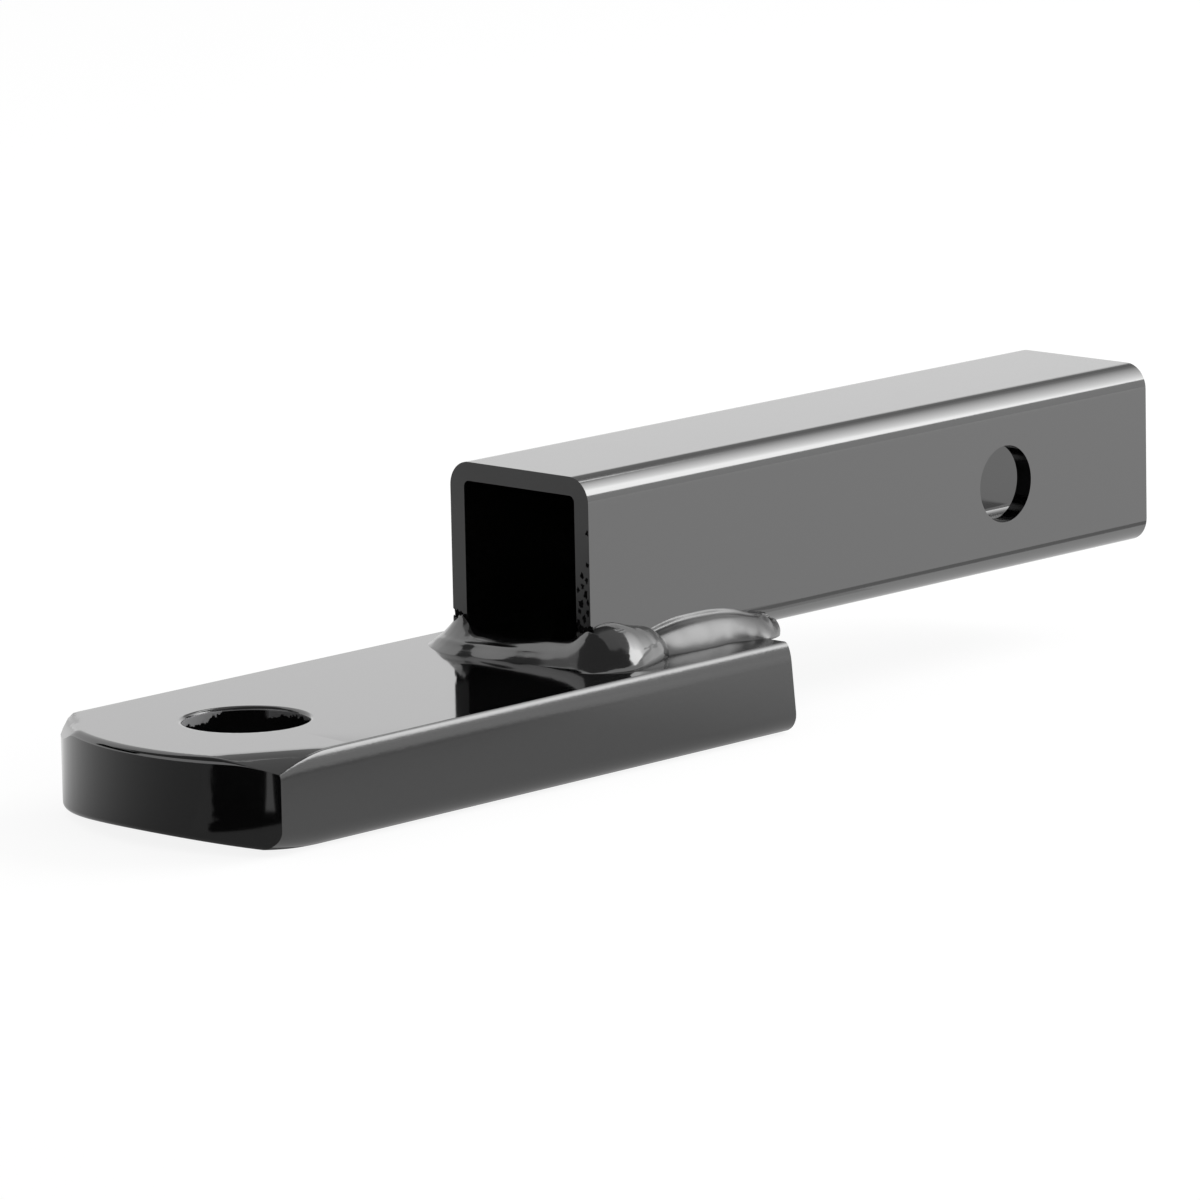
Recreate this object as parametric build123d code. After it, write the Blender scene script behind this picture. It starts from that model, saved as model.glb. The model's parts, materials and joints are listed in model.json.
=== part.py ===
from build123d import *
from math import cos, radians, sin, sqrt, tan
import os

# Shank: square steel tube that slides into the hitch receiver
tube_side = 31.75
tube_wall = 3.2
tube_corner_radius = 4.3
tube_length = 143.3
tube_end_break = 0.35

# Hitch pin hole through both side walls
pin_hole_diameter = 13.5
pin_hole_from_end = 38.1
pin_hole_break = 0.3

# Tongue: flat bar under the tube's mouth. The heel is the end that lies under the tube
bar_width = 54.2
bar_thickness = 15.875
bar_length = 127.8
bar_top_edge_radius = 2.75
bar_bottom_edge_radius = 3.7
seat_length = 36.5
heel_lean_angle = 6.0

# Ball hole
ball_hole_diameter = 20.6
ball_hole_from_nose = 27.0
ball_hole_rim_radius = 0.7

# Nose: sheared to an arc whose centre lies a little off the bar's centre line
nose_radius = 43.0
nose_offset = 2.0
nose_edge_radius = 1.2

# Rolled edges: the shear drags the nose's top corners down and turns the underside up towards the tip
right_roll_reach = 7.6
right_roll_radius = 10.5
right_roll_angle = 32.0
left_roll_reach = 3.4
left_roll_radius = 4.0
left_roll_angle = 50.0
under_roll_radius = 70.0
under_roll_reach = 19.0

# Weld beads: legs on the bar and on the tube, and a crown above the straight line between them
bead_leg = 6.0
bead_crown = 1.0
bead_root_depth = 2.7
front_lip_depth = 0.8
corner_turn_radius = 0.6
heel_bead_leg = 5.3
right_return_length = 16.5
left_return_length = 12.0
right_crater_overrun = 7.8
left_crater_overrun = 5.5

# How far a bead's blank reaches into the bar, and its crown into bar and tube, before they are cut from it
bead_sink = 1.5
crown_bite = 0.3

# Places that follow from the sizes
half_tube = tube_side / 2
half_bar = bar_width / 2
mouth_x = pin_hole_from_end - tube_length
bar_top_z = -half_tube
bar_bottom_z = bar_top_z - bar_thickness
heel_x = mouth_x + seat_length
nose_tip_x = heel_x - bar_length
nose_centre_x = nose_tip_x + nose_radius
ball_hole_x = nose_tip_x + ball_hole_from_nose

# How far a cutting or trimming shape passes beyond what it cuts
overcut = 2.0


def square_tube():
    """Rounded square tube along X, open at both ends, with its end edges broken."""
    outer = RectangleRounded(tube_side, tube_side, tube_corner_radius)
    inner_side = tube_side - 2 * tube_wall
    inner_radius = max(tube_corner_radius - tube_wall, tube_wall / 4)
    ring = outer - RectangleRounded(inner_side, inner_side, inner_radius)
    tube = extrude(Plane(origin=(mouth_x, 0, 0), x_dir=(0, 1, 0), z_dir=(1, 0, 0)) * ring, tube_length)
    end_faces = tube.faces().filter_by(Plane.YZ)
    tube = chamfer([face.outer_wire().edges() for face in end_faces], tube_end_break)
    return pin_hole(tube)


def pin_hole(tube):
    """Cross hole for the hitch pin, with a broken edge on the outside of each wall."""
    drill = Rot(90, 0, 0) * Cylinder(pin_hole_diameter / 2, tube_side + 2 * overcut)
    tube = tube - drill
    rims = [
        edge
        for edge in tube.edges().filter_by(GeomType.CIRCLE)
        if abs(abs(edge.center().Y) - half_tube) < 0.01 and abs(edge.radius - pin_hole_diameter / 2) < 0.01
    ]
    return chamfer(rims, pin_hole_break)


def bar_blank():
    """Hot-rolled flat bar: softly rounded long edges, cut at a slant at the heel."""
    section = Rectangle(bar_width, bar_thickness)
    section = fillet(section.vertices().group_by(Axis.Y)[-1], bar_top_edge_radius)
    section = fillet(section.vertices().group_by(Axis.Y)[0], bar_bottom_edge_radius)
    heel_overhang = bar_thickness * tan(radians(heel_lean_angle))
    start = (nose_tip_x - overcut, 0, (bar_top_z + bar_bottom_z) / 2)
    length = bar_length + heel_overhang + 2 * overcut
    blank = extrude(Plane(origin=start, x_dir=(0, 1, 0), z_dir=(1, 0, 0)) * section, length)
    lean = radians(heel_lean_angle)
    heel_cut = Plane(origin=(heel_x, 0, bar_top_z), z_dir=(cos(lean), 0, sin(lean)))
    return split(blank, heel_cut, keep=Keep.BOTTOM)


def shear_nose(bar):
    """Trims the bar's free end to its arc."""
    disc = Pos(nose_centre_x, -nose_offset) * Circle(nose_radius)
    behind = Pos(nose_centre_x + bar_length / 2, 0) * Rectangle(bar_length, 2 * bar_width)
    die = extrude(Plane.XY.offset(bar_bottom_z - overcut) * (disc + behind), bar_thickness + 2 * overcut)
    return bar & die


def roll_under_nose(bar):
    """Turns the underside up towards the nose's tip, tangent to the flat bottom."""
    start_x = nose_tip_x + under_roll_reach
    rise = under_roll_radius - sqrt(max(0, under_roll_radius**2 - under_roll_reach**2))
    block = Pos(start_x - under_roll_reach, 0, bar_bottom_z) * Box(
        2 * under_roll_reach, 2 * bar_width, 2 * (rise + overcut)
    )
    drum = Pos(start_x, 0, bar_bottom_z + under_roll_radius) * Rot(90, 0, 0) * Cylinder(
        under_roll_radius, 3 * bar_width
    )
    return bar - (block - drum)


def round_nose_edges(bar):
    """One small radius all round the sheared face."""
    nose_face = (
        bar.faces()
        .filter_by(GeomType.CYLINDER)
        .filter_by(lambda face: abs(face.radius - nose_radius) < 0.01)
        .sort_by(Axis.X)[0]
    )
    return bar.fillet(nose_edge_radius, nose_face.edges())


def roll_nose_corner(bar, side, reach, roll_radius, roll_angle):
    """Drags one top corner of the nose down. side is -1 on the right and 1 on the left."""
    sideways = side * half_bar + nose_offset
    corner_x = nose_centre_x - sqrt(max(0, nose_radius**2 - sideways**2))
    angle = radians(roll_angle)
    outward = Vector(-sin(angle), side * cos(angle), 0)
    start = Vector(corner_x, side * half_bar, bar_top_z - roll_radius) - outward * reach
    across = Plane(origin=start, x_dir=outward, z_dir=Vector(0, 0, 1).cross(outward))
    up = across.y_dir.Z
    drop = roll_radius - sqrt(max(0, roll_radius**2 - reach**2))
    depth = drop + overcut
    block = across * Pos(reach, up * (roll_radius - depth / 2 + overcut / 2)) * Box(
        2 * reach, depth + overcut, 3 * bar_width
    )
    drum = across * Cylinder(roll_radius, 4 * bar_width)
    return bar - (block - drum)


def ball_hole(bar):
    """Straight hole for the ball's shank, with a rounded rim at both ends."""
    drill = Pos(ball_hole_x, 0, (bar_top_z + bar_bottom_z) / 2) * Cylinder(
        ball_hole_diameter / 2, bar_thickness + 2 * overcut
    )
    bar = bar - drill
    rims = [
        edge
        for edge in bar.edges().filter_by(GeomType.CIRCLE)
        if abs(edge.radius - ball_hole_diameter / 2) < 0.01
    ]
    return fillet(rims, ball_hole_rim_radius)


def tongue():
    """The finished bar."""
    bar = roll_under_nose(shear_nose(bar_blank()))
    bar = round_nose_edges(bar)
    bar = roll_nose_corner(bar, -1, right_roll_reach, right_roll_radius, right_roll_angle)
    bar = roll_nose_corner(bar, 1, left_roll_reach, left_roll_radius, left_roll_angle)
    return ball_hole(bar)


def bead_section(root, outward, wall, leg, lip, crown=1.0):
    """Slice through a fillet weld. root is a point on the bar's top inside the joint, outward points away
    from the tube, and wall is how far the tube's face lies from root. leg is the bead's reach along the bar,
    lip its reach up the tube and crown its bulge, each as a share of the usual one."""
    toe = Vector(wall + leg * bead_leg, -crown_bite)
    top = Vector(wall - crown_bite, lip * bead_leg)
    bulge = Vector(lip, leg).normalized() * crown * bead_crown
    outline = ThreePointArc(toe, (toe + top) * 0.5 + bulge, top)
    outline += Polyline(top, (0, top.Y), (0, -bead_sink), (toe.X, -bead_sink), toe)
    across = Plane(origin=root, x_dir=outward, z_dir=Vector(outward).cross(Vector(0, 0, 1)))
    return across * make_face(outline)


def side_section(side, along, leg, lip, crown=1.0, depth=bead_root_depth):
    """Slice of a bead on the tube's side, at a distance along from the mouth."""
    root = (mouth_x + along, side * (half_tube - depth), bar_top_z)
    return bead_section(root, (0, side, 0), depth, leg, lip, crown)


def corner_section(side, turn, leg, lip, crown=1.0):
    """Slice where the front bead turns the mouth's corner. turn is 0 at the side and 90 at the front."""
    angle = radians(turn)
    outward = Vector(-sin(angle), side * cos(angle), 0)
    to_front = front_lip_depth + corner_turn_radius
    pivot = Vector(mouth_x + to_front, side * (half_tube - bead_root_depth), bar_top_z)
    root = pivot + outward * corner_turn_radius
    wall = min(to_front / sin(angle), bead_root_depth / cos(angle)) - corner_turn_radius
    return bead_section(root, outward, wall, leg, lip, crown)


def front_section(share, leg, lip, crown=1.0):
    """Slice of the front bead. share is its place across the mouth, from -1 at the right to 1 at the left."""
    root = (mouth_x + front_lip_depth, share * (half_tube - bead_root_depth), bar_top_z)
    return bead_section(root, (-1, 0, 0), front_lip_depth, leg, lip, crown)


def heel_section(share, size):
    """Slice of the bead between the tube's underside and the bar's heel face. share is its place across,
    from -1 at the right side bead to 1 at the left one."""
    reach = size * heel_bead_leg
    on_tube = Vector(reach, crown_bite)
    on_heel = Vector(reach * tan(radians(heel_lean_angle)) - crown_bite, -reach)
    bulge = Vector(1, -1).normalized() * size * bead_crown
    outline = ThreePointArc(on_tube, (on_tube + on_heel) * 0.5 + bulge, on_heel)
    outline += Polyline(on_heel, (-bead_sink, -reach), (-bead_sink, bead_sink), (reach, bead_sink), on_tube)
    place = (heel_x, share * (half_tube + bead_leg / 3), bar_top_z)
    return Plane(origin=place, x_dir=(1, 0, 0), z_dir=(0, -1, 0)) * make_face(outline)


def front_bead():
    """Bead across the mouth. It turns both corners and ends as a round lobe over each side bead. Its lip
    stands high at the corners and lies low between them."""
    right, left = right_return_length, left_return_length
    slices = [
        side_section(-1, right, 0.25, 0.3, 0.3),
        side_section(-1, 0.92 * right, 0.55, 0.6, 0.8),
        side_section(-1, 0.75 * right, 0.8, 0.85, 1.5),
        side_section(-1, 0.5 * right, 1.0, 0.95, 1.7),
        side_section(-1, 0.25 * right, 1.15, 1.12, 1.4),
        corner_section(-1, 30, 0.9, 1.05),
        corner_section(-1, 60, 0.75, 0.95),
        front_section(-0.85, 0.63, 0.72),
        front_section(-0.2, 0.75, 0.52),
        front_section(0.4, 0.86, 0.45),
        front_section(0.85, 0.97, 0.62),
        corner_section(1, 60, 0.95, 0.9),
        corner_section(1, 30, 1.05, 1.02),
        side_section(1, 0.3 * left, 1.15, 1.1, 1.2),
        side_section(1, 0.75 * left, 0.85, 0.85, 1.2),
        side_section(1, left, 0.25, 0.3, 0.3),
    ]
    return loft(slices, ruled=True)


def side_bead(side, start, overrun):
    """Long bead beside the tube. It starts under the front bead's lobe, runs past the heel and rounds off
    there as its crater."""
    depth = 0.9 * bead_root_depth
    hidden = 0.6 * start
    run = seat_length - start
    slices = [
        side_section(side, hidden, 0.5, 0.5, 0.6, depth),
        side_section(side, start, 0.6, 0.85, 0.9, depth),
        side_section(side, start + 0.3 * run, 0.64, 0.93, 0.9, depth),
        side_section(side, start + 0.75 * run, 0.66, 0.88, 0.9, depth),
        side_section(side, seat_length, 0.88, 0.72, 0.8, depth),
        side_section(side, seat_length + 0.5 * overrun, 0.78, 0.5, 0.6, depth),
        side_section(side, seat_length + 0.85 * overrun, 0.42, 0.4, 0.4, depth),
        side_section(side, seat_length + overrun, 0.12, 0.3, 0.2, depth),
    ]
    return loft(slices, ruled=True)


def heel_bead():
    """Bead under the tube across the heel, thinner where it meets the side beads."""
    places = ((-1, 0.5), (-0.5, 0.9), (0, 1.0), (0.5, 0.93), (1, 0.5))
    return loft([heel_section(share, size) for share, size in places], ruled=True)


shank_tube = square_tube()
tongue_bar = tongue()

front_weld = front_bead() - shank_tube - tongue_bar
right_weld = side_bead(-1, right_return_length, right_crater_overrun) - shank_tube - tongue_bar - front_weld
left_weld = side_bead(1, left_return_length, left_crater_overrun) - shank_tube - tongue_bar - front_weld
heel_weld = heel_bead() - shank_tube - tongue_bar - right_weld - left_weld

pieces = {
    "shank_tube": shank_tube,
    "tongue_bar": tongue_bar,
    "front_weld": front_weld,
    "right_weld": right_weld,
    "left_weld": left_weld,
    "heel_weld": heel_weld,
}

os.makedirs("parts", exist_ok=True)
for name, piece in pieces.items():
    export_step(piece, f"parts/{name}.step")
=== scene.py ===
import json
from math import atan2, copysign, cos, exp, pi, radians, sin, sqrt, tan

import bpy
from mathutils import Matrix, Vector, noise

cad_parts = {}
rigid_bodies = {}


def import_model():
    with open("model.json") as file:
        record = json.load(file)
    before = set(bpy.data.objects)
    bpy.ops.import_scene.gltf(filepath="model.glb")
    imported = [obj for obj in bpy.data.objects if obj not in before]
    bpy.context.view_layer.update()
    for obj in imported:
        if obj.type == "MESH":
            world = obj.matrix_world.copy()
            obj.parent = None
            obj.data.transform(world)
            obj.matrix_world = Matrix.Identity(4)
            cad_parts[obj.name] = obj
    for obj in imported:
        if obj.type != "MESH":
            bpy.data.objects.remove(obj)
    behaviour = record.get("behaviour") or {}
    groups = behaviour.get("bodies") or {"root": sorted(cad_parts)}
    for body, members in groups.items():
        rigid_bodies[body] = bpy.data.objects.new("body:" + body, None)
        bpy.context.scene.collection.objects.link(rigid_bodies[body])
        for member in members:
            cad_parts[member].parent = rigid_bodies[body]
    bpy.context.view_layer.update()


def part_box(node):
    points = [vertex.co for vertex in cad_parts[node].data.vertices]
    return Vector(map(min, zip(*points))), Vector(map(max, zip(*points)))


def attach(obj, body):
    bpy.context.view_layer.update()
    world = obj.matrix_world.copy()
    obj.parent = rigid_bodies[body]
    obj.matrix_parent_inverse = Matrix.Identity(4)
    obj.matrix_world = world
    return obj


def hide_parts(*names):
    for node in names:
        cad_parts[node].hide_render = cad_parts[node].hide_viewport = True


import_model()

# Camera: a long lens, low and to the left of the ball end, turned a little so that the tube rises to the
# right. It aims at a point on the bar's top, and the frame sits a little to one side of that point.
mm = 0.001
tube_low, tube_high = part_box("shank_tube")
bar_low, bar_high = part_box("tongue_bar")
floor_z = bar_low.z
bar_top = tube_low.z
mouth_x = tube_low.x

azimuth = radians(-46.43)
elevation = radians(10.918)
roll = radians(-1.164)
camera_distance = 1463.9 * mm
aim = Vector((mouth_x + 60 * mm, 0, bar_top))
frame_shift = (-28.23 * mm, 0.4 * mm)

back = Vector((sin(azimuth) * cos(elevation), -cos(azimuth) * cos(elevation), sin(elevation)))
level_right = Vector((cos(azimuth), sin(azimuth), 0))
level_up = back.cross(level_right)
picture_right = level_right * cos(roll) + level_up * sin(roll)
picture_up = level_up * cos(roll) - level_right * sin(roll)

camera_data = bpy.data.cameras.new("camera")
camera_data.sensor_width = 36
camera_data.lens = 255.97
camera = bpy.data.objects.new("camera", camera_data)
bpy.context.scene.collection.objects.link(camera)
camera.matrix_world = Matrix.LocRotScale(
    aim + picture_right * frame_shift[0] + picture_up * frame_shift[1] + back * camera_distance,
    Matrix((picture_right, picture_up, back)).transposed().to_quaternion(),
    None,
)
bpy.context.scene.camera = camera
bpy.context.scene.view_settings.view_transform = "Standard"


# Studio: a pale sweep under and round the part, white to the eye and in its reflections, and the soft shadow
# that the part drops on it.
def add_node(tree, kind, **settings):
    """A shader node with its settings and the values of its sockets."""
    node = tree.nodes.new(kind)
    for key, value in settings.items():
        if hasattr(node, key):
            setattr(node, key, value)
        else:
            node.inputs[key.replace("_", " ")].default_value = value
    return node


def seen_directly(tree):
    """1 for camera, mirror and see-through rays, and 0 for the rays that light a surface."""
    path = add_node(tree, "ShaderNodeLightPath")
    either = add_node(tree, "ShaderNodeMath", operation="MAXIMUM")
    any_of = add_node(tree, "ShaderNodeMath", operation="MAXIMUM")
    tree.links.new(path.outputs["Is Camera Ray"], either.inputs[0])
    tree.links.new(path.outputs["Is Glossy Ray"], either.inputs[1])
    tree.links.new(either.outputs[0], any_of.inputs[0])
    tree.links.new(path.outputs["Is Transmission Ray"], any_of.inputs[1])
    return any_of.outputs[0]


studio = bpy.data.worlds.new("studio")
bpy.context.scene.world = studio
studio.use_nodes = True
tree = studio.node_tree
tree.nodes.clear()
output = add_node(tree, "ShaderNodeOutputWorld")
lit = add_node(tree, "ShaderNodeBackground", Color=(1, 1, 1, 1), Strength=0.5)
white = add_node(tree, "ShaderNodeBackground", Color=(1, 1, 1, 1), Strength=1.0)
mix = add_node(tree, "ShaderNodeMixShader")
tree.links.new(seen_directly(tree), mix.inputs[0])
tree.links.new(lit.outputs[0], mix.inputs[1])
tree.links.new(white.outputs[0], mix.inputs[2])
tree.links.new(mix.outputs[0], output.inputs[0])

# The sweep lies a hair under the part, so that the bar's underside and the paper don't share a level.
sweep_gap = 0.1 * mm
bpy.ops.mesh.primitive_plane_add(size=9, location=(0, 0, floor_z - sweep_gap))
sweep = bpy.context.object
sweep.name = "sweep"
paper = bpy.data.materials.new("white_paper")
paper.use_nodes = True
tree = paper.node_tree
tree.nodes.clear()
output = add_node(tree, "ShaderNodeOutputMaterial")
matt = add_node(tree, "ShaderNodeBsdfDiffuse", Color=(0.8, 0.8, 0.8, 1))
half_matt = add_node(tree, "ShaderNodeBsdfDiffuse", Color=(0.2, 0.2, 0.2, 1))
glow = add_node(tree, "ShaderNodeEmission", Color=(1, 1, 1, 1), Strength=0.87)
shown = add_node(tree, "ShaderNodeAddShader")
mix = add_node(tree, "ShaderNodeMixShader")
tree.links.new(half_matt.outputs[0], shown.inputs[0])
tree.links.new(glow.outputs[0], shown.inputs[1])
tree.links.new(seen_directly(tree), mix.inputs[0])
tree.links.new(matt.outputs[0], mix.inputs[1])
tree.links.new(shown.outputs[0], mix.inputs[2])
tree.links.new(mix.outputs[0], output.inputs[0])
sweep.data.materials.append(paper)


def toward(bearing, height):
    """The direction that lies bearing degrees from +X towards +Y, and height degrees above level."""
    b, h = radians(bearing), radians(height)
    return Vector((cos(b) * cos(h), sin(b) * cos(h), sin(h)))


def facing(direction, distance):
    """The place and turn of a flat thing at that distance from the part, square on to it."""
    place = aim + direction * distance
    return Matrix.LocRotScale(place, direction.to_track_quat("Z", "Y"), None)


# A soft box to the right and above lights the part, and is itself hidden from the gloss. What the gloss
# shows stands apart from it: panels round the part, a dim ceiling, a bright front in the soft box's place,
# and cards that lie on the sweep.
soft_box_level = 5.2
key_data = bpy.data.lights.new("soft_box", "AREA")
key_data.shape = "RECTANGLE"
key_data.size = 0.7
key_data.size_y = 0.62
key_data.energy = soft_box_level * pi * key_data.size * key_data.size_y
key = bpy.data.objects.new("soft_box", key_data)
bpy.context.scene.collection.objects.link(key)
key.matrix_world = facing(toward(-26, 27), 1.0)
key.visible_glossy = False


def panel(name, place, width, depth, level):
    """A flat panel that only the part's gloss shows. Gives its shader, for a panel that isn't even."""
    bpy.ops.mesh.primitive_plane_add(size=1)
    card = bpy.context.object
    card.name = name
    card.scale = (width, depth, 1)
    bpy.ops.object.transform_apply(location=False, rotation=False, scale=True)
    card.matrix_world = place
    card.visible_camera = False
    card.visible_diffuse = False
    card.visible_shadow = False
    card.visible_transmission = False
    surface = bpy.data.materials.new(name)
    surface.use_nodes = True
    tree = surface.node_tree
    tree.nodes.clear()
    output = add_node(tree, "ShaderNodeOutputMaterial")
    shine = add_node(tree, "ShaderNodeEmission", Color=(1, 1, 1, 1), Strength=level)
    tree.links.new(shine.outputs[0], output.inputs[0])
    card.data.materials.append(surface)
    return tree, shine


# Each panel's name, bearing and height in degrees, distance, width and depth in metres, and brightness.
panels = (
    ("back_panel", 43, 12, 1.2, 1.1, 0.42, 1.3),
    ("left_panel", 89.5, 41, 1.0, 1.03, 0.66, 1.0),
    ("low_panel", -9, 8, 1.05, 0.89, 0.33, 1.6),
    ("top_panel", 18, 54, 1.0, 0.28, 0.24, 3.5),
    ("black_panel", -170, 55, 0.9, 2.2, 0.9, 0.13),
    ("dark_panel", -88, 42, 0.95, 0.62, 0.6, 0.13),
    ("ceiling", 0, 90, 1.6, 6.4, 6.4, 0.42),
)
for name, bearing, height, distance, width, depth, level in panels:
    panel(name, facing(toward(bearing, height), distance), width, depth, level)


def lying(x, y, height, turn):
    """The place of a card on the sweep. Cards that overlap differ in height, so none share a level."""
    return Matrix.Translation((x, y, floor_z + height)) @ Matrix.Rotation(turn, 4, "Z")


def ramp(tree, source, low, high, low_value, high_value, power):
    """A value that climbs between two others as the source goes from low to high."""
    share = add_node(tree, "ShaderNodeMapRange", From_Min=low, From_Max=high)
    tree.links.new(source, share.inputs["Value"])
    bent = add_node(tree, "ShaderNodeMath", operation="POWER")
    bent.inputs[1].default_value = power
    tree.links.new(share.outputs[0], bent.inputs[0])
    level = add_node(tree, "ShaderNodeMapRange", To_Min=low_value, To_Max=high_value)
    tree.links.new(bent.outputs[0], level.inputs["Value"])
    return level.outputs[0]


def own_place(tree):
    """The three coordinates of a place on the panel."""
    spot = add_node(tree, "ShaderNodeTexCoord")
    parts = add_node(tree, "ShaderNodeSeparateXYZ")
    tree.links.new(spot.outputs["Object"], parts.inputs[0])
    return parts.outputs


# The soft box's front, brightest at its near end.
tree, shine = panel("soft_front", facing(toward(-20, 35.5), 1.0), width=1.3, depth=0.52, level=1)
across, _, _ = own_place(tree)
glow = ramp(tree, across, low=-0.22, high=0.52, low_value=5.2, high_value=0.6, power=0.55)
tree.links.new(glow, shine.inputs["Strength"])

# In front of the nose, shades fan out from a point inside it, dark ahead and pale to the left.
fan_place = lying(bar_low.x + 22 * mm, -8 * mm, height=0.3 * mm, turn=pi)
tree, shine = panel("nose_card", fan_place, width=0.22, depth=0.2, level=1)
across, along, _ = own_place(tree)
fan = add_node(tree, "ShaderNodeMath", operation="ARCTAN2")
opposite = add_node(tree, "ShaderNodeMath", operation="MULTIPLY")
opposite.inputs[1].default_value = -1
tree.links.new(along, opposite.inputs[0])
tree.links.new(opposite.outputs[0], fan.inputs[0])
tree.links.new(across, fan.inputs[1])
glow = ramp(tree, fan.outputs[0], low=0, high=radians(100), low_value=0.15, high_value=1, power=2.2)
tree.links.new(glow, shine.inputs["Strength"])

# Ahead of the nose's right half the sweep is black, with a ragged near edge and one thin grey strip.
black_place = lying(bar_low.x - 53.5 * mm, -39.2 * mm, height=0.6 * mm, turn=radians(-3.8))
tree, shine = panel("black_card", black_place, width=0.081, depth=0.066, level=0)
_, along, _ = own_place(tree)
spot = add_node(tree, "ShaderNodeTexCoord")
ragged = add_node(tree, "ShaderNodeTexNoise", Scale=75, Detail=3, Roughness=0.6)
tree.links.new(spot.outputs["Object"], ragged.inputs["Vector"])
ragged_depth = 0.02
reach = add_node(tree, "ShaderNodeMath", operation="MULTIPLY_ADD")
reach.inputs[1].default_value = ragged_depth
tree.links.new(ragged.outputs["Fac"], reach.inputs[0])
tree.links.new(along, reach.inputs[2])
glow = ramp(tree, reach.outputs[0], low=0.0368, high=0.0375, low_value=0, high_value=0.16, power=1)
tree.links.new(glow, shine.inputs["Strength"])
strip_place = lying(bar_low.x - 42 * mm, -44.3 * mm, height=0.9 * mm, turn=radians(21))
panel("grey_strip", strip_place, width=0.044, depth=0.004, level=0.4)

# A black card low down, close to the mouth, keeps the mouth's mirror image in the bar's top black.
mouth_side = toward(136, 11)
mouth_distance = 0.3
mouth_centre = Vector((mouth_x, 0, bar_top)) + mouth_side * mouth_distance
mouth_place = Matrix.LocRotScale(mouth_centre, mouth_side.to_track_quat("Z", "Y"), None)
panel("mouth_card", mouth_place, width=0.13, depth=0.085, level=0)

# Painted shadow: along the right side a card that only the gloss shows paints the part's shade on the sweep,
# grey, and paler towards the heel.
side_shadow_place = lying(bar_low.x + 96 * mm, -50 * mm, height=0.45 * mm, turn=0)
tree, shine = panel("side_shadow_card", side_shadow_place, width=0.176, depth=0.05, level=1)
across, _, _ = own_place(tree)
glow = ramp(tree, across, low=0.02, high=0.065, low_value=0.58, high_value=0.82, power=1)
tree.links.new(glow, shine.inputs["Strength"])

# A darker band on the sweep darkens the tube's lower corner.
band_place = lying(45 * mm, -41 * mm, height=0.6 * mm, turn=0)
panel("low_band", band_place, width=0.16, depth=0.017, level=0.5)

# Shank: welded square tube, sawn off square and deburred, with the hitch pin hole drilled through both side
# walls. It is coated black after welding, smooth and glossy on the tube's cold-formed faces.
tube_wall = 3.2 * mm
tube_corner = 4.3 * mm
corner_steps = 14
pin_hole_radius = 6.75 * mm
end_break = 0.35 * mm
melt_half_width = 11.8 * mm
melt_floor = 1.9 * mm
melt_length = 9 * mm


def select_edges(piece, wanted):
    """In edit mode, selects just the edges whose two ends pass the test."""
    bpy.ops.mesh.select_all(action="DESELECT")
    bpy.ops.mesh.select_mode(type="EDGE")
    bpy.ops.object.mode_set(mode="OBJECT")
    points = piece.data.vertices
    for edge in piece.data.edges:
        edge.select = wanted(points[edge.vertices[0]].co, points[edge.vertices[1]].co)
    bpy.ops.object.mode_set(mode="EDIT")


def apply_modifier(piece, kind, **settings):
    """Adds a modifier with these settings and applies it."""
    bpy.context.view_layer.objects.active = piece
    modifier = piece.modifiers.new(kind.lower(), kind)
    for key, value in settings.items():
        setattr(modifier, key, value)
    bpy.ops.object.modifier_apply(modifier=modifier.name)


def block(name, low, high):
    """A cube stretched between two corners, with its place in its mesh, active and alone in the selection."""
    bpy.ops.object.select_all(action="DESELECT")
    bpy.ops.mesh.primitive_cube_add(size=1, location=(Vector(low) + Vector(high)) / 2)
    piece = bpy.context.object
    piece.name = name
    piece.scale = Vector(high) - Vector(low)
    bpy.ops.object.transform_apply(location=True, rotation=True, scale=True)
    return piece


def rod(name, centre, radius, length, turn, steps):
    """A round cutter."""
    bpy.ops.object.select_all(action="DESELECT")
    bpy.ops.mesh.primitive_cylinder_add(
        vertices=steps, radius=radius, depth=length, location=centre, rotation=turn
    )
    piece = bpy.context.object
    piece.name = name
    bpy.ops.object.transform_apply(location=True, rotation=True, scale=True)
    return piece


def cut(piece, tool):
    """Takes the tool's shape out of the piece and throws the tool away."""
    apply_modifier(piece, "BOOLEAN", operation="DIFFERENCE", object=tool, solver="EXACT")
    bpy.data.objects.remove(tool)


def smooth(piece, angle):
    """Smooth shading across edges flatter than the angle, with flat faces kept flat."""
    bpy.ops.object.select_all(action="DESELECT")
    piece.select_set(True)
    bpy.context.view_layer.objects.active = piece
    bpy.ops.object.shade_smooth_by_angle(angle=angle)
    apply_modifier(piece, "WEIGHTED_NORMAL", weight=100, keep_sharp=True)


tube = block("square_tube", tube_low, tube_high)
bpy.ops.object.mode_set(mode="EDIT")
select_edges(tube, lambda a, b: abs(a.x - b.x) > mm)
bpy.ops.mesh.bevel(offset=tube_corner, segments=corner_steps, affect="EDGES")
bpy.ops.mesh.select_all(action="DESELECT")
bpy.ops.mesh.select_mode(type="FACE")
bpy.ops.object.mode_set(mode="OBJECT")
for face in tube.data.polygons:
    face.select = abs(face.normal.x) > 0.9
bpy.ops.object.mode_set(mode="EDIT")
bpy.ops.mesh.delete(type="FACE")
bpy.ops.object.mode_set(mode="OBJECT")
apply_modifier(tube, "SOLIDIFY", thickness=tube_wall, offset=-1, use_even_offset=True)
cut(tube, rod("drill", (0, 0, 0), pin_hole_radius, 60 * mm, turn=(pi / 2, 0, 0), steps=96))

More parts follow.
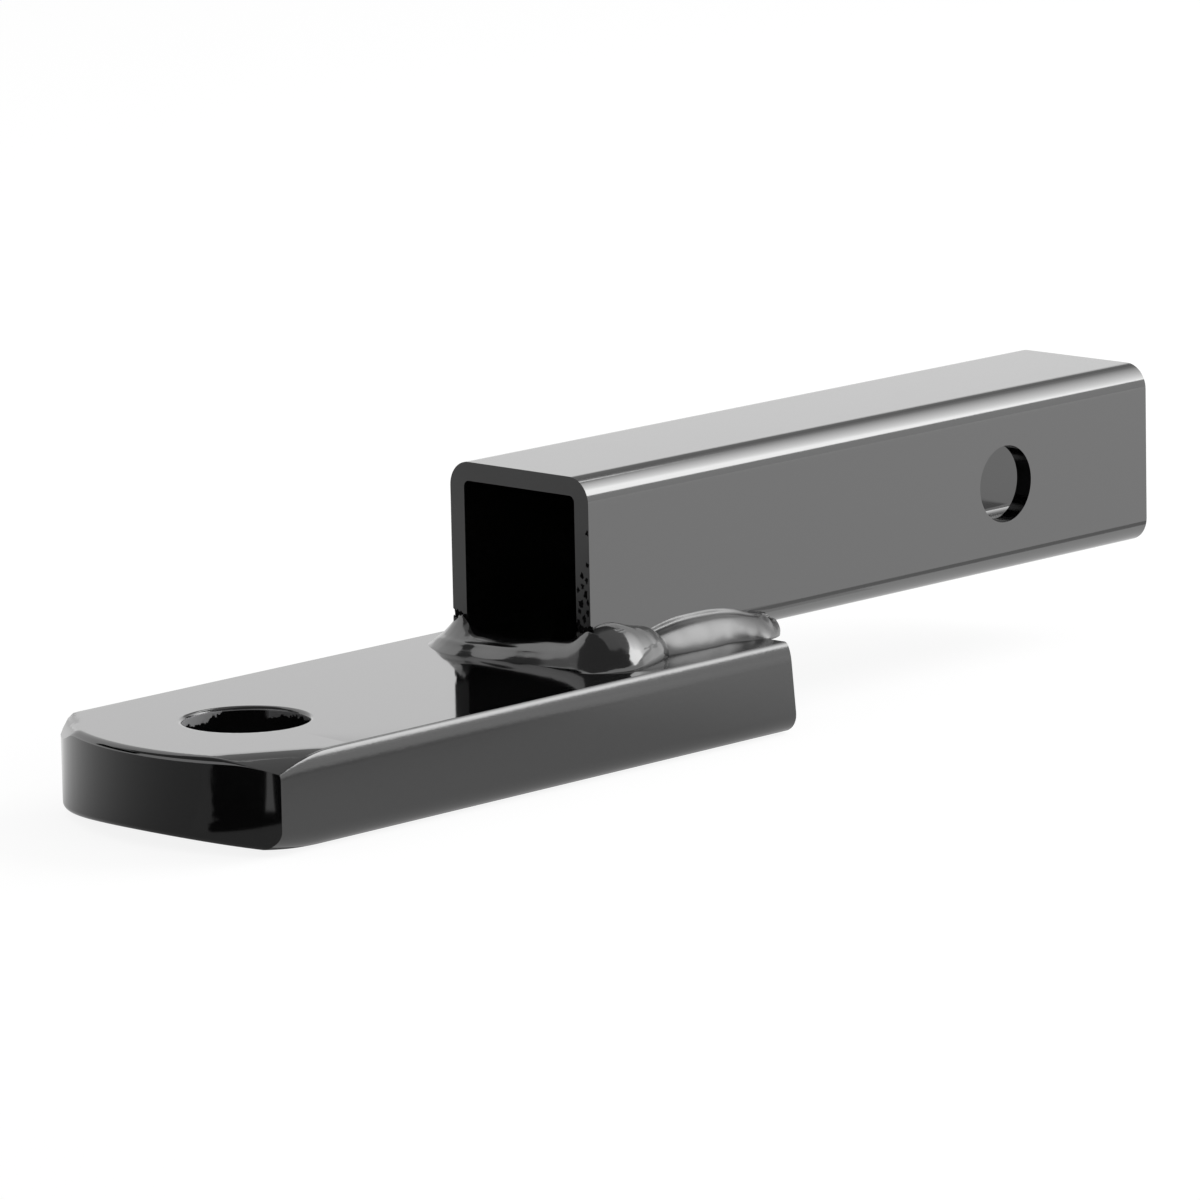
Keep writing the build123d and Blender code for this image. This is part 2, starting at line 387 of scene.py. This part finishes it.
# The arc has melted the mouth's lower wall away, down to a floor that slopes up behind the front weld.
melt = block(
    "melt",
    (mouth_x - mm, -melt_half_width, bar_top + melt_floor),
    (mouth_x + melt_length, melt_half_width, bar_top + 2 * tube_wall),
)
for corner in melt.data.vertices:
    if corner.co.x > mouth_x and corner.co.z < bar_top + tube_wall:
        corner.co.z = bar_top + tube_wall
cut(tube, melt)
apply_modifier(tube, "BEVEL", width=end_break, segments=3, limit_method="ANGLE", angle_limit=radians(50))


def blob(name, place, size):
    """A small lump with an uneven skin."""
    bpy.ops.object.select_all(action="DESELECT")
    bpy.ops.mesh.primitive_ico_sphere_add(subdivisions=3, radius=1)
    piece = bpy.context.object
    piece.name = name
    for point in piece.data.vertices:
        uneven = 1 + 0.9 * noise.noise(point.co * 1.6 + Vector(place) * 700)
        point.co = Vector(place) + point.co * Vector(size) * uneven
    return piece


coat_black = (0.004, 0.004, 0.0042, 1)


def coat_material(name, ior, roughness, peel, grain, edge_roughness):
    """Black coat on steel: dark and glossy, with a little unevenness in its gloss. peel is the height of its
    orange peel. On faces turned sideways grain is added to it, and they are as dull as edge_roughness."""
    material = bpy.data.materials.new(name)
    material.use_nodes = True
    tree = material.node_tree
    shader = tree.nodes["Principled BSDF"]
    shader.inputs["Base Color"].default_value = coat_black
    shader.inputs["IOR"].default_value = ior
    place = add_node(tree, "ShaderNodeTexCoord")
    fine = add_node(tree, "ShaderNodeTexNoise", Scale=1400, Detail=2)
    broad = add_node(tree, "ShaderNodeTexNoise", Scale=90, Detail=3)
    for texture in (fine, broad):
        tree.links.new(place.outputs["Object"], texture.inputs["Vector"])
    upright = add_node(tree, "ShaderNodeSeparateXYZ")
    tree.links.new(place.outputs["Normal"], upright.inputs[0])
    steep = add_node(tree, "ShaderNodeMath", operation="ABSOLUTE")
    tree.links.new(upright.outputs["Y"], steep.inputs[0])
    edge = add_node(tree, "ShaderNodeMapRange", From_Min=0.7, From_Max=0.9, To_Min=0, To_Max=1)
    tree.links.new(steep.outputs[0], edge.inputs["Value"])
    gloss = add_node(tree, "ShaderNodeMapRange", To_Min=0.8 * roughness, To_Max=1.25 * roughness)
    tree.links.new(broad.outputs["Fac"], gloss.inputs["Value"])
    dull = add_node(tree, "ShaderNodeMapRange", To_Min=0.85 * edge_roughness, To_Max=1.15 * edge_roughness)
    tree.links.new(broad.outputs["Fac"], dull.inputs["Value"])
    both = add_node(tree, "ShaderNodeMix", data_type="FLOAT")
    tree.links.new(edge.outputs[0], both.inputs[0])
    tree.links.new(gloss.outputs[0], both.inputs[2])
    tree.links.new(dull.outputs[0], both.inputs[3])
    tree.links.new(both.outputs[0], shader.inputs["Roughness"])
    depth = add_node(tree, "ShaderNodeMapRange", To_Min=peel, To_Max=peel + grain)
    tree.links.new(edge.outputs[0], depth.inputs["Value"])
    height = add_node(tree, "ShaderNodeMath", operation="MULTIPLY")
    tree.links.new(fine.outputs["Fac"], height.inputs[0])
    tree.links.new(depth.outputs[0], height.inputs[1])
    bump = add_node(tree, "ShaderNodeBump", Strength=1, Distance=1)
    tree.links.new(height.outputs[0], bump.inputs["Height"])
    tree.links.new(bump.outputs["Normal"], shader.inputs["Normal"])
    return material


# The coat differs on the tube's outside, on its sawn ends and inside it.
outside, sawn, bore = 0, 1, 2
for name, ior, roughness, peel, grain in (
    ("coated_tube", 2.25, 0.1, 0.0005 * mm, 0),
    ("coated_cut", 1.55, 0.3, 0.002 * mm, 0.01 * mm),
    ("coated_bore", 1.95, 0.12, 0.0005 * mm, 0),
):
    tube.data.materials.append(coat_material(name, ior, roughness, peel, grain, edge_roughness=roughness))
for face in tube.data.polygons:
    inside = max(abs(face.center.y), abs(face.center.z)) < tube_high.z - tube_wall + 0.01 * mm
    face.material_index = sawn if abs(face.normal.x) > 0.9 else bore if inside else outside

# Scorched pits in the mouth's rim: specks up its right wall, and a notch on each side where the arc bit in.
# Their barely reflecting coat paints them black: partly scorch, and partly the undercut's shade painted in.
# Each is its place across and up the rim, and its radius, in mm.
scorched_and_shaded = coat_material("scorched_and_shaded", ior=1.15, roughness=0.8, peel=0.002 * mm, grain=0, edge_roughness=0.8)
pits = (
    (-15.5, 6.8, 0.3), (-15.4, 1.4, 0.35), (-14.1, -0.5, 0.4), (-15.2, -1.2, 0.35), (-14.2, -2.3, 0.35),
    (-13.2, -3.0, 0.3), (-14.9, -3.6, 0.5), (-13.8, -5.3, 0.5), (-15.4, -4.9, 0.35), (-13.4, -6.6, 0.35),
    (-15.3, -6.6, 0.4), (-14.4, -7.7, 0.45), (-13.1, -8.3, 0.35), (-12.6, -9.3, 0.6), (-13.6, -9.6, 0.65),
    (-14.7, -9.9, 0.7), (-15.7, -10.0, 0.9), (15.8, -10.2, 0.6), (14.9, -10.4, 0.6), (13.9, -10.6, 0.6),
    (13.0, -10.9, 0.7),
)
for y, z, radius in pits:
    pit = blob("pit", (mouth_x, y * mm, z * mm), (0.6 * radius * mm, radius * mm, 1.35 * radius * mm))
    pit.data.materials.append(scorched_and_shaded)
    apply_modifier(
        tube, "BOOLEAN", operation="DIFFERENCE", object=pit, solver="EXACT", material_mode="TRANSFER"
    )
    bpy.data.objects.remove(pit)

# Crumbs that two pits have cut off between them are thrown away.
bpy.ops.object.mode_set(mode="EDIT")
select_edges(tube, lambda a, b: a.x > 0)
bpy.ops.mesh.select_linked()
bpy.ops.mesh.select_all(action="INVERT")
bpy.ops.mesh.delete(type="VERT")
bpy.ops.object.mode_set(mode="OBJECT")
smooth(tube, radians(40))
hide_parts("shank_tube")
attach(tube, "root")

# Tongue: hot-rolled flat bar with soft long edges, punched for the ball and sheared to a blunt arc. The shear
# dragged its corners down and turned its underside up. Its rolled and sheared edges keep a fine grain under
# the coat.
heel_lean = radians(6)
heel_x = bar_high.x - (bar_high.z - bar_low.z) * tan(heel_lean)
half_bar = bar_high.y
bar_top_edge = 2.75 * mm
top_edge_width = 1.1 * mm
top_edge_depth = 3.4 * mm
bar_bottom_edge = 3.7 * mm
nose_radius = 43 * mm
nose_offset = 2 * mm
nose_edge = 1.1 * mm
hole_radius = 10.3 * mm
hole_edge = 0.7 * mm
hole_x = bar_low.x + 27 * mm
under_roll_radius = 70 * mm
under_roll_reach = 19 * mm
under_roll_height = 12 * mm
stock_length_over = 5 * mm
die_length = 150 * mm


def edge_weights(piece, weigh):
    """Writes how wide the coming bevel is at each edge, as a share of its width."""
    weights = piece.data.attributes.new("bevel_weight_edge", "FLOAT", "EDGE")
    points = piece.data.vertices
    for edge, weight in zip(piece.data.edges, weights.data):
        weight.value = weigh(points[edge.vertices[0]].co, points[edge.vertices[1]].co)


def near(value, place):
    """Whether the two are the same, but for rounding."""
    return abs(value - place) < 0.02 * mm


bar = block("ball_bar", bar_low, (heel_x + stock_length_over, half_bar, bar_high.z))
bpy.ops.object.mode_set(mode="EDIT")
for level, width in ((bar_high.z, bar_top_edge), (bar_low.z, bar_bottom_edge)):
    select_edges(bar, lambda a, b: abs(a.x - b.x) > mm and near(a.z, level) and near(b.z, level))
    bpy.ops.mesh.bevel(offset=width, segments=12, affect="EDGES")
bpy.ops.object.mode_set(mode="OBJECT")

# The top long edges reach further down the sides than across the top.
for vertex in bar.data.vertices:
    if vertex.co.z > bar_high.z - bar_top_edge - 0.01 * mm:
        inset = min(half_bar - abs(vertex.co.y), bar_top_edge)
        vertex.co.y += copysign(inset * (1 - top_edge_width / bar_top_edge), vertex.co.y)
        vertex.co.z -= (bar_high.z - vertex.co.z) * (top_edge_depth / bar_top_edge - 1)
bpy.ops.object.mode_set(mode="EDIT")
bpy.ops.mesh.select_all(action="SELECT")
bpy.ops.mesh.bisect(
    plane_co=(heel_x, 0, bar_high.z),
    plane_no=(cos(heel_lean), 0, sin(heel_lean)),
    use_fill=True,
    clear_outer=True,
)
bpy.ops.object.mode_set(mode="OBJECT")

# The die has the nose's arc and rounded rims, and a back long enough to clear the heel.
nose_centre = Vector((bar_low.x + nose_radius, -nose_offset, (bar_low.z + bar_high.z) / 2))
thickness = bar_high.z - bar_low.z
die = rod("die", nose_centre, nose_radius, thickness, (0, 0, 0), 360)
bpy.ops.object.mode_set(mode="EDIT")
select_edges(die, lambda a, b: abs(a.z - b.z) < mm)
bpy.ops.mesh.bevel(offset=nose_edge, segments=7, affect="EDGES")
bpy.ops.object.mode_set(mode="OBJECT")
for corner in die.data.vertices:
    if corner.co.x > nose_centre.x + mm:
        corner.co.x += die_length
apply_modifier(bar, "BOOLEAN", operation="INTERSECT", object=die, solver="EXACT")
bpy.data.objects.remove(die)

cut(bar, rod("punch", (hole_x, 0, nose_centre.z), hole_radius, 30 * mm, (0, 0, 0), 128))


def round_the_hole(a, b):
    """1 for an edge of the hole's two rims, and 0 for the rest."""
    round_here = all(abs(Vector((p.x - hole_x, p.y)).length - hole_radius) < 0.02 * mm for p in (a, b))
    level = near(a.z, b.z) and (near(a.z, bar_high.z) or near(a.z, bar_low.z))
    return 1 if round_here and level else 0


edge_weights(bar, round_the_hole)
apply_modifier(bar, "BEVEL", width=hole_edge, segments=5, limit_method="WEIGHT", use_clamp_overlap=True)

# Fine cuts at the nose give the corners their drawn-down shape.
corner_pitch = 0.9 * mm
cuts_back = 27
cuts_out = 29
bpy.ops.object.mode_set(mode="EDIT")
for step in range(1, cuts_back + 1):
    bpy.ops.mesh.select_all(action="SELECT")
    bpy.ops.mesh.bisect(plane_co=(bar_low.x + step * corner_pitch, 0, 0), plane_no=(1, 0, 0))
bpy.ops.mesh.select_all(action="DESELECT")
for step in range(-cuts_out, cuts_out + 1):
    bpy.ops.object.mode_set(mode="OBJECT")
    for face in bar.data.polygons:
        face.select = face.center.x < bar_low.x + cuts_back * corner_pitch
    bpy.ops.object.mode_set(mode="EDIT")
    bpy.ops.mesh.bisect(plane_co=(0, step * corner_pitch, 0), plane_no=(0, 1, 0))
bpy.ops.object.mode_set(mode="OBJECT")

# Corners: the side, how far in from the corner the drag starts, its drop there and its turn from sideways.
dragged = ((-1, 7.6 * mm, 2.5 * mm, radians(32)), (1, 2.7 * mm, 3.3 * mm, radians(50)))
blend = 5
for side, reach, drop, turn in dragged:
    sideways = side * half_bar + nose_offset
    corner = Vector((nose_centre.x - sqrt(nose_radius**2 - sideways**2), side * half_bar))
    outward = Vector((-sin(turn), side * cos(turn)))
    for vertex in bar.data.vertices:
        inside = (corner - Vector((vertex.co.x, vertex.co.y))).dot(outward)
        if inside < reach:
            depth = max(0, bar_high.z - vertex.co.z)
            dragged_to = drop * ((reach - inside) / reach) ** 2
            vertex.co.z = bar_high.z - (depth**blend + dragged_to**blend) ** (1 / blend)
for vertex in bar.data.vertices:
    ahead_of_roll = bar_low.x + under_roll_reach - vertex.co.x
    if ahead_of_roll > 0:
        rise = under_roll_radius - sqrt(under_roll_radius**2 - ahead_of_roll**2)
        vertex.co.z += rise * max(0, 1 - (vertex.co.z - bar_low.z) / under_roll_height)
smooth(bar, radians(35))
bar.data.materials.clear()
bar.data.materials.append(
    coat_material(
        "coated_bar", ior=2.0, roughness=0.07, peel=0.0004 * mm, grain=0.014 * mm, edge_roughness=0.22
    )
)
# The hole wall's torn grey is partly bare steel and partly painted light, paler in the left patch than in the
# right.
torn_and_lit_grey = (0.3, 0.3, 0.305, 1)
torn_edge_depth = 6 * mm
left_patch_from, left_patch_to = 5.3 * mm, 5.9 * mm
right_patch_from, right_patch_to = -4 * mm, -5.2 * mm
right_patch_lit_share = 0.4


def torn_and_lit_material(name, torn_from):
    """The punched hole's wall: coated black and smooth low down, and torn and grey above a ragged line, in
    two patches that end at lines askew to the bar. The grey is partly bare torn steel and partly painted
    light
    falling in from the opening: the left patch is painted paler and the right one dimmer."""
    material = bpy.data.materials.new(name)
    material.use_nodes = True
    tree = material.node_tree
    shader = tree.nodes["Principled BSDF"]
    shader.inputs["IOR"].default_value = 1.8
    place = add_node(tree, "ShaderNodeTexCoord")
    parts = add_node(tree, "ShaderNodeSeparateXYZ")
    tree.links.new(place.outputs["Object"], parts.inputs[0])
    ragged = add_node(tree, "ShaderNodeTexNoise", Scale=190, Detail=5, Roughness=0.65)
    tree.links.new(place.outputs["Object"], ragged.inputs["Vector"])
    shift = add_node(tree, "ShaderNodeMath", operation="MULTIPLY_ADD")
    shift.inputs[1].default_value = torn_edge_depth
    tree.links.new(ragged.outputs["Fac"], shift.inputs[0])
    tree.links.new(parts.outputs["Z"], shift.inputs[2])
    torn = add_node(tree, "ShaderNodeMapRange", From_Min=torn_from, From_Max=torn_from + 0.15 * mm)
    tree.links.new(shift.outputs[0], torn.inputs["Value"])
    askew = add_node(tree, "ShaderNodeMath", operation="SUBTRACT")
    tree.links.new(parts.outputs["Y"], askew.inputs[0])
    tree.links.new(parts.outputs["X"], askew.inputs[1])
    left = add_node(
        tree, "ShaderNodeMapRange", From_Min=left_patch_from - hole_x, From_Max=left_patch_to - hole_x
    )
    right = add_node(
        tree,
        "ShaderNodeMapRange",
        From_Min=right_patch_from - hole_x,
        From_Max=right_patch_to - hole_x,
        To_Max=right_patch_lit_share,
    )
    lit_patches = add_node(tree, "ShaderNodeMath", operation="ADD")
    for place_in, end in zip(lit_patches.inputs, (left, right)):
        tree.links.new(askew.outputs[0], end.inputs["Value"])
        tree.links.new(end.outputs[0], place_in)
    share = add_node(tree, "ShaderNodeMath", operation="MULTIPLY")
    tree.links.new(torn.outputs[0], share.inputs[0])
    tree.links.new(lit_patches.outputs[0], share.inputs[1])
    colour = add_node(tree, "ShaderNodeMix", data_type="RGBA")
    colour.inputs["A"].default_value = coat_black
    colour.inputs["B"].default_value = torn_and_lit_grey
    tree.links.new(share.outputs[0], colour.inputs[0])
    tree.links.new(colour.outputs["Result"], shader.inputs["Base Color"])
    rough = add_node(tree, "ShaderNodeMapRange", To_Min=0.1, To_Max=0.6)
    tree.links.new(share.outputs[0], rough.inputs["Value"])
    tree.links.new(rough.outputs[0], shader.inputs["Roughness"])
    return material


bar.data.materials.append(torn_and_lit_material("torn_and_lit_wall", bar_high.z + 1.4 * mm))
for face in bar.data.polygons:
    from_hole = Vector((face.center.x - hole_x, face.center.y)).length
    if from_hole < hole_radius + 0.02 * mm and abs(face.normal.z) < 0.3:
        face.material_index = 1
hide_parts("tongue_bar")
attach(bar, "root")

# Front weld: one bead across the mouth, turned round both corners and ended in a round lobe on each side.
# Each station gives the toe on the bar, the lip on the tube, the crown over the line between them and the
# depth of the ripples, in mm from the middle of the mouth on the bar's top.
shown_share = 0.72
fullness = 0.65
ripple_lag = 2.2
unevenness = 0.13
root_width = 0.5
root_depth = 0.4


def through(points, share):
    """The place at a share, 0 to 1, of a smooth curve through the points."""
    spans = len(points) - 1
    first = min(int(share * spans), spans - 1)
    t = share * spans - first
    a, b, c, d = (points[min(max(first + i, 0), spans)] for i in (-1, 0, 1, 2))
    return 0.5 * (2 * b + (c - a) * t + (2 * a - 5 * b + 4 * c - d) * t**2 + (3 * b - a - 3 * c + d) * t**3)


def bead(name, stations, rings, sides, ripple_pitch, detail):
    """A weld bead through the stations, its skin bowed between toe and lip and its root tucked in under it.
    detail adds to the skin's height at a place, given by its share along and across the bead."""
    points = [Vector(station) for station in stations]
    bpy.ops.object.select_all(action="DESELECT")
    bpy.ops.mesh.primitive_cylinder_add(vertices=sides, radius=1, depth=1)
    piece = bpy.context.object
    piece.name = name
    bpy.ops.object.mode_set(mode="EDIT")
    select_edges(piece, lambda a, b: abs(a.z - b.z) > 0.5)
    bpy.ops.mesh.subdivide(number_cuts=rings)
    bpy.ops.object.mode_set(mode="OBJECT")
    origin = Vector((mouth_x, 0, bar_top))
    length = sum(((q - p).xyz.length for p, q in zip(points, points[1:])))
    for vertex in piece.data.vertices:
        along = min(max(vertex.co.z + 0.5, 0), 1)
        turn = (atan2(vertex.co.y, vertex.co.x) / (2 * pi)) % 1
        station = through(points, along)
        before = through(points, max(0, along - 0.01))
        after = through(points, min(1, along + 0.01))
        toe, lip = Vector(station[0:3]), Vector(station[3:6])
        crown, ripple = station[6], station[7]
        path = Vector(after[0:3]) + Vector(after[3:6]) - Vector(before[0:3]) - Vector(before[3:6])
        chord = lip - toe
        outward = chord.cross(path).normalized()
        if turn < shown_share:
            across = turn / shown_share
            swell = (4 * across * (1 - across)) ** fullness
            bow = (2 * across - 1) ** 2
            phase = (along * length - ripple_lag * bow) / ripple_pitch
            wave = 1 - 2 * abs(phase % 1 - 0.4) ** 1.5 * 2
            rough = noise.noise(Vector((along * length * 0.22, across * 1.3, 7.1)))
            height = crown * swell + swell * (ripple * wave + unevenness * rough)
            place = toe + chord * across + outward * (height + swell**0.5 * detail(along, across))
        else:
            inward = Vector((chord.x, chord.y, 0))
            deep = lip + inward.normalized() * root_width
            root = Vector((deep.x, deep.y, toe.z - root_depth))
            share = (turn - shown_share) / (1 - shown_share)
            place = lip.lerp(deep, min(1, 3 * share)) if share < 1 / 3 else deep.lerp(root, 3 * share - 1)
            if share > 2 / 3:
                place = root.lerp(toe - Vector((0, 0, 0.2)), 3 * share - 2)
        vertex.co = origin + place * mm
    bpy.ops.object.select_all(action="DESELECT")
    piece.select_set(True)
    bpy.context.view_layer.objects.active = piece
    bpy.ops.object.mode_set(mode="EDIT")
    bpy.ops.mesh.select_all(action="SELECT")
    bpy.ops.mesh.normals_make_consistent(inside=False)
    bpy.ops.object.mode_set(mode="OBJECT")
    bpy.ops.object.shade_smooth()
    return piece


def hill(value, centre, width):
    """1 at the centre, and down to 0 on both sides of it."""
    return exp(-(((value - centre) / width) ** 2))


def front_detail(along, across):
    """The fold left by the weave of the torch, which climbs from the far corner to the middle."""
    climb = 0.25 + 0.9 * (0.78 - along)
    return 0.2 * hill(across, climb, 0.1) * hill(along, 0.66, 0.14)


front_stations = (
    (17.1, -16.9, -0.2, 12.9, -15.8, 5.0, -0.2, 0),
    (16.8, -17.5, -0.2, 12.7, -15.8, 5.1, 0.7, 0.02),
    (15.9, -18.5, -0.2, 12.0, -15.8, 5.2, 1.4, 0.02),
    (13.5, -20.0, -0.2, 10.3, -15.8, 5.4, 1.8, 0.03),
    (10.6, -21.2, -0.2, 8.0, -15.8, 5.9, 1.9, 0.05),
    (6.0, -22.6, -0.2, 5.5, -15.8, 6.8, 1.7, 0.06),
    (2.3, -22.8, -0.2, 3.4, -15.8, 6.9, 1.4, 0.06),
    (-0.6, -21.5, -0.2, 1.5, -15.6, 6.6, 1.1, 0.05),
    (-2.6, -20.0, -0.2, 0.3, -14.8, 6.2, 0.8, 0.03),
    (-3.9, -18.0, -0.2, -0.2, -13.6, 5.4, 0.6, 0.02),
    (-3.9, -12.3, -0.2, -0.3, -11.2, 4.3, 0.5, 0.02),
    (-3.9, -5.5, -0.2, -0.3, -6.5, 3.8, 0.4, 0.02),
    (-5.0, 0.3, -0.2, -0.3, 0.5, 3.2, 0.4, 0.02),
    (-5.2, 6.5, -0.2, -0.3, 6.5, 3.2, 0.4, 0.02),
    (-6.2, 10.0, -0.2, -0.3, 9.8, 3.3, 0.4, 0.03),
    (-5.8, 13.6, -0.2, -0.2, 12.2, 4.4, 0.2, 0.04),
    (-4.6, 16.9, -0.2, 0.2, 14.0, 5.5, -0.3, 0.02),
    (-2.9, 19.8, -0.2, 1.0, 15.4, 6.1, -0.7, 0),
    (-0.3, 22.3, -0.2, 2.5, 15.8, 6.3, -0.9, 0),
    (3.5, 23.2, -0.2, 4.5, 15.8, 6.0, -0.5, 0.05),
    (7.5, 22.2, -0.2, 7.6, 15.8, 5.6, 0.8, 0.12),
    (10.5, 20.2, -0.2, 9.9, 15.8, 5.0, 1.5, 0.08),
    (12.2, 18.3, -0.2, 11.2, 15.8, 4.5, 0.9, 0.02),
    (13.0, 17.2, -0.2, 11.9, 15.8, 4.2, -0.2, 0),
)
crisp_coat = coat_material(
    "coated_weld", ior=2.1, roughness=0.12, peel=0.002 * mm, grain=0, edge_roughness=0.12
)
soft_coat = coat_material(
    "coated_soft_weld", ior=1.98, roughness=0.3, peel=0.003 * mm, grain=0, edge_roughness=0.3
)


def finish_weld(piece, coat, node):
    """Coats the bead and puts it in its node's place."""
    piece.data.materials.append(coat)
    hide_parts(node)
    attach(piece, "root")


front_bead = bead(
    "front_bead", front_stations, rings=500, sides=96, ripple_pitch=2.4, detail=front_detail
)
finish_weld(front_bead, crisp_coat, "front_weld")

# Right weld: the long bead beside the tube, laid from under the front weld's lobe and run off past the heel,
# where the arc was broken and left its crater.
right_stations = (
    (44.6, -16.6, -0.6, 44.3, -15.8, 1.3, 0.05, 0),
    (44.1, -17.6, -0.7, 43.8, -15.8, 2.1, 0.4, 0),
    (42.6, -19.3, -0.7, 42.2, -15.8, 2.8, 0.7, 0),
    (40.0, -20.9, -0.5, 40.2, -15.8, 3.0, 0.8, 0),
    (37.2, -21.8, -0.3, 37.6, -15.8, 3.8, 0.8, 0.01),
    (34.2, -20.9, -0.2, 34.5, -15.8, 4.8, 0.8, 0.01),
    (29.9, -19.8, -0.2, 30.0, -15.8, 5.5, 0.8, 0.01),
    (24.7, -19.9, -0.2, 24.5, -15.8, 5.7, 0.8, 0.01),
    (20.1, -19.6, -0.2, 19.5, -15.8, 5.5, 0.75, 0.01),
    (15.5, -19.0, -0.2, 14.4, -15.8, 4.6, 0.7, 0.02),
    (12.0, -18.0, -0.2, 11.5, -15.8, 3.8, 0.3, 0),
)


def right_detail(along, across):
    """The crater: a pit high on the bead near its end, and the smooth crest behind it."""
    pit = -1.5 * hill(along, 0.22, 0.035) * hill(across, 0.72, 0.16)
    crest = 0.5 * hill(along, 0.3, 0.035) * hill(across, 0.6, 0.4) + 0.3 * hill(along, 0.13, 0.03)
    tuck = -0.7 * hill(across, 0.86, 0.12) * (1 - hill(along, 0.27, 0.06))
    return pit + crest + tuck


right_bead = bead(
    "right_bead", right_stations, rings=360, sides=80, ripple_pitch=2.6, detail=right_detail
)
finish_weld(right_bead, soft_coat, "right_weld")

# Left weld: the same on the hidden side, a little shorter.
left_stations = (
    (8.5, 18.0, -0.2, 8.2, 15.8, 3.6, 0.3, 0),
    (12.0, 19.2, -0.2, 11.4, 15.8, 4.6, 0.8, 0.05),
    (17.0, 19.9, -0.2, 16.5, 15.8, 5.4, 1.0, 0.1),
    (22.5, 19.7, -0.2, 22.0, 15.8, 5.6, 1.0, 0.12),
    (28.0, 19.9, -0.2, 27.6, 15.8, 5.5, 1.0, 0.12),
    (33.0, 20.3, -0.2, 33.0, 15.8, 5.1, 1.0, 0.1),
    (36.5, 20.8, -0.3, 36.6, 15.8, 4.2, 0.9, 0.05),
    (39.0, 20.0, -0.5, 39.0, 15.8, 3.2, 0.7, 0),
    (41.0, 18.4, -0.7, 40.8, 15.8, 2.4, 0.5, 0),
    (42.0, 16.8, -0.6, 41.8, 15.8, 1.4, 0.05, 0),
)


def left_detail(along, across):
    """A shallow crater where the arc was broken."""
    return -0.6 * hill(along, 0.84, 0.035) * hill(across, 0.6, 0.2)


left_bead = bead("left_bead", left_stations, rings=300, sides=64, ripple_pitch=2.6, detail=left_detail)
finish_weld(left_bead, soft_coat, "left_weld")

# Heel weld: a flat bead under the tube, laid in the corner between the bar's leaning heel and the tube's
# underside. Each pair is a place across the tube and how far the bead reaches down and back there, in mm.
heel_x_on_bar = 36.4
heel_slope = 0.105
heel_reaches = (
    (17.4, 2.2), (16.0, 3.2), (12.0, 4.6), (6, 5.2), (0, 5.3), (-6, 5.0), (-12, 4.7), (-16.0, 3.2),
    (-17.4, 2.2),
)
heel_stations = tuple(
    (heel_x_on_bar + heel_slope * down, place, -down, heel_x_on_bar + down, place, 0.1, 0.2 * down, 0.08)
    for place, down in heel_reaches
)


def no_detail(along, across):
    """The heel bead's skin is even."""
    return 0


heel_bead = bead("heel_bead", heel_stations, rings=200, sides=48, ripple_pitch=2.4, detail=no_detail)
finish_weld(heel_bead, soft_coat, "heel_weld")
